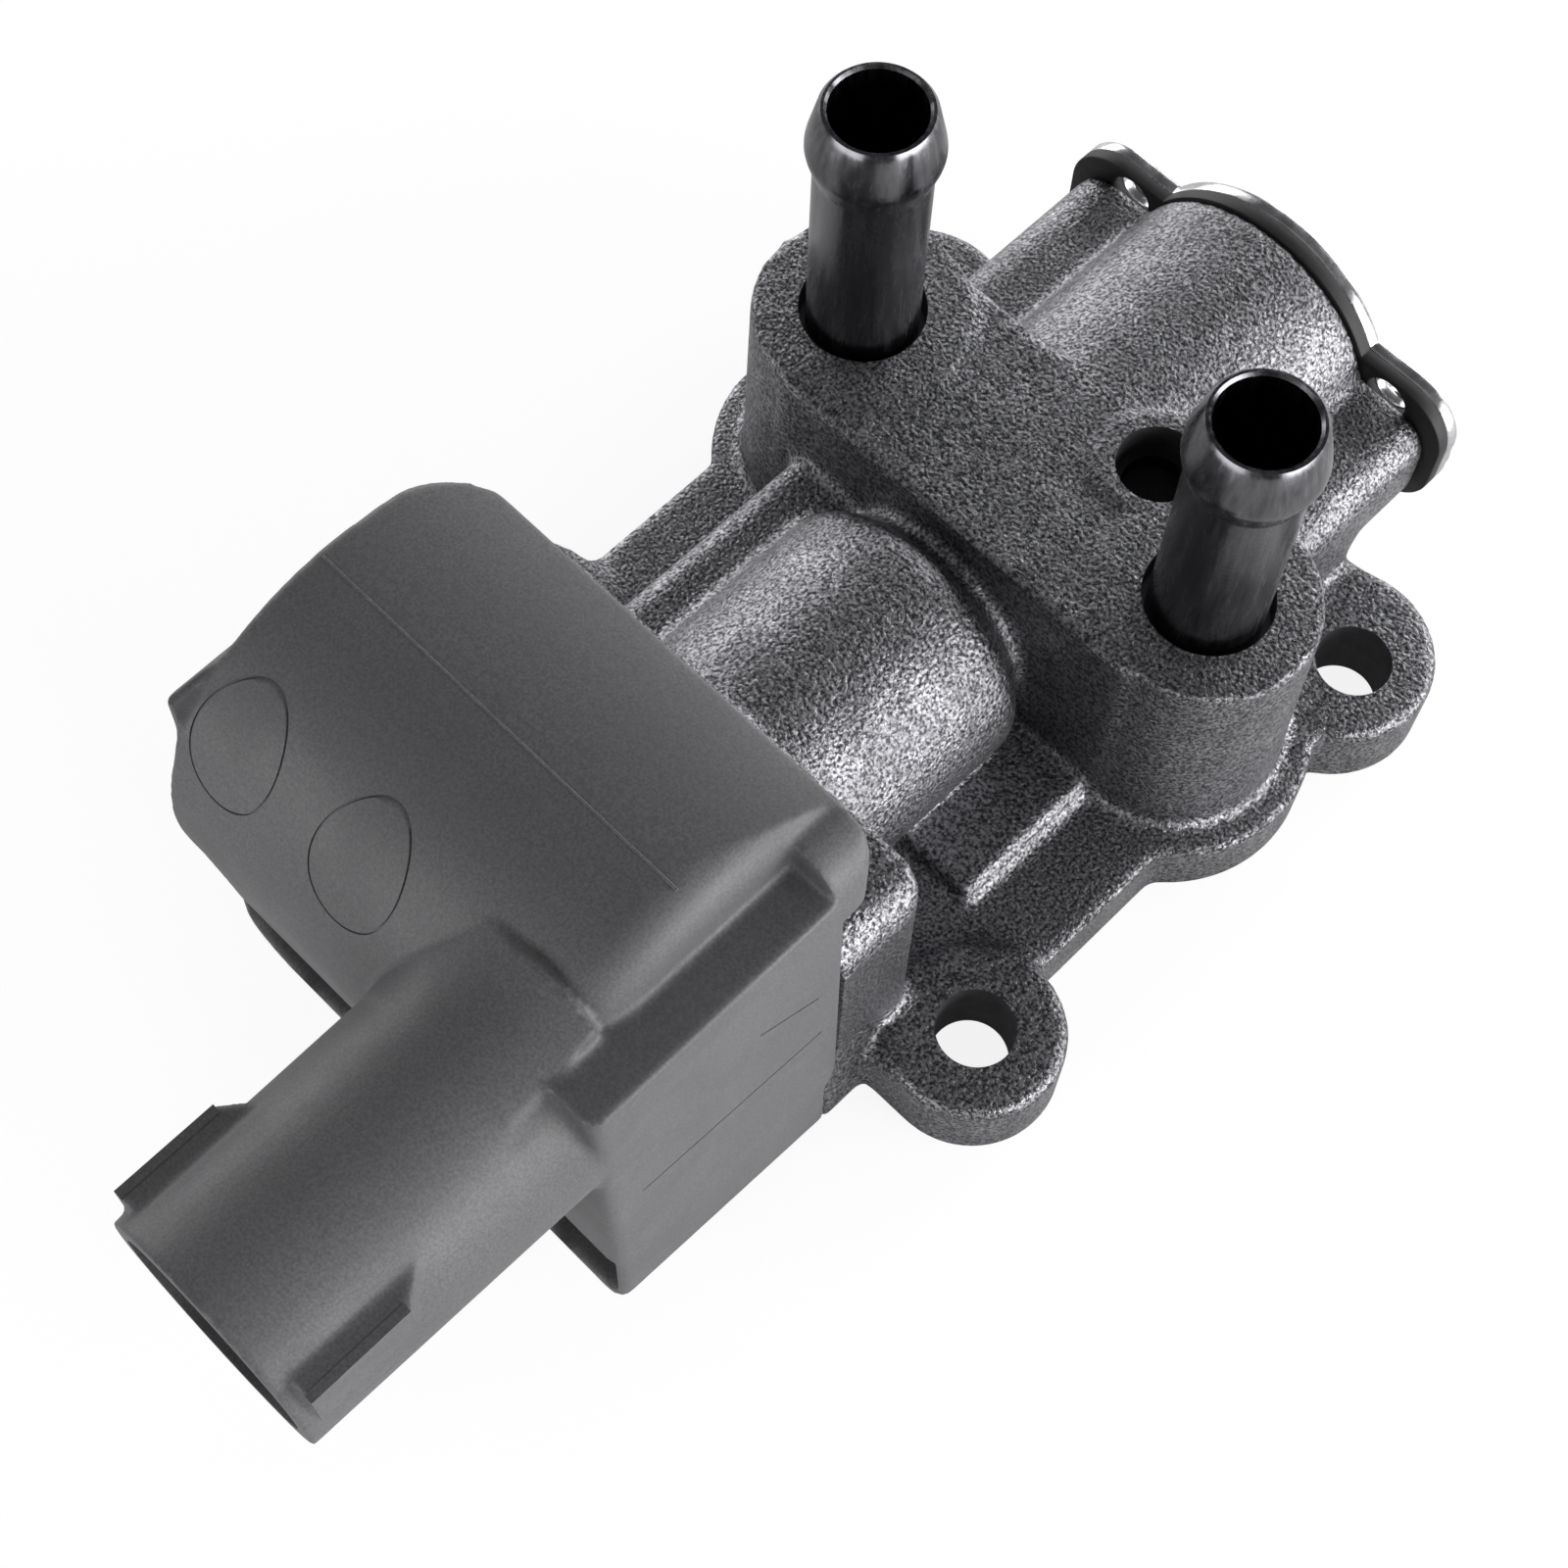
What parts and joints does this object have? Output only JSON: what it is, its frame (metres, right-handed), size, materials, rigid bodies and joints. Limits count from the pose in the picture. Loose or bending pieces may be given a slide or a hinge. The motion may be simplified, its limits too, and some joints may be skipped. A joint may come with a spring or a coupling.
{
  "type": "idle air control valve",
  "caption": "Cast aluminium idle air valve: flanged body with barrel and cross bridge, upright coolant nipples, pressed end cover, moulded solenoid housing and round plug socket",
  "frame": {"origin": "on the mounting face, below the shutter's axis and in line with the two coolant nipples", "axes": "Z out of the mounting face along the nipples, Y along the shutter's axis from the plug socket to the end cover, X across"},
  "size_m": [0.0678, 0.1275, 0.053],
  "materials": {
    "die_cast": "die-cast, blasted",
    "dark_steel": "turned, dark passivated",
    "black_steel": "blackened",
    "plated_steel": "zinc plated",
    "rubber_black": "moulded",
    "moulded_plastic": "fine matte grain",
    "tinned_brass": "stamped",
    "core_steel": "laminated",
    "bobbin_plastic": "moulded",
    "winding": "enamelled copper wire",
    "magnet": "sintered",
    "bright_steel": "ground",
    "shutter_metal": "machined",
    "bimetal": "rolled strip"
  },
  "bodies": {
    "casing": {"valve_body": "die_cast", "nipple_left": "dark_steel", "nipple_right": "dark_steel", "core_plug": "black_steel", "end_cover": "plated_steel", "cover_gasket": "rubber_black", "cover_screws": "plated_steel", "cover_washers": "plated_steel", "solenoid_housing": "moulded_plastic", "socket_terminals": "tinned_brass", "stator_core": "core_steel", "bobbin": "bobbin_plastic", "coil": "winding", "front_bearing": "tinned_brass", "rear_bearing": "bright_steel", "shaft_seal": "rubber_black", "housing_seal": "rubber_black", "housing_screws": "plated_steel", "bimetal_guard": "bright_steel", "bimetal_coil": "bimetal"},
    "rotor": {"rotor_magnet": "magnet", "rotor_hub": "tinned_brass", "shaft": "bright_steel", "rotary_shutter": "shutter_metal", "stop_lever": "bright_steel"}
  },
  "joints": [
    {"name": "rotor_turn", "type": "hinge", "parent": "casing", "child": "rotor", "pos_m": [0, 0, 0.0148], "axis": [0, 1, 0], "range_deg": [-30, 30]}
  ]
}
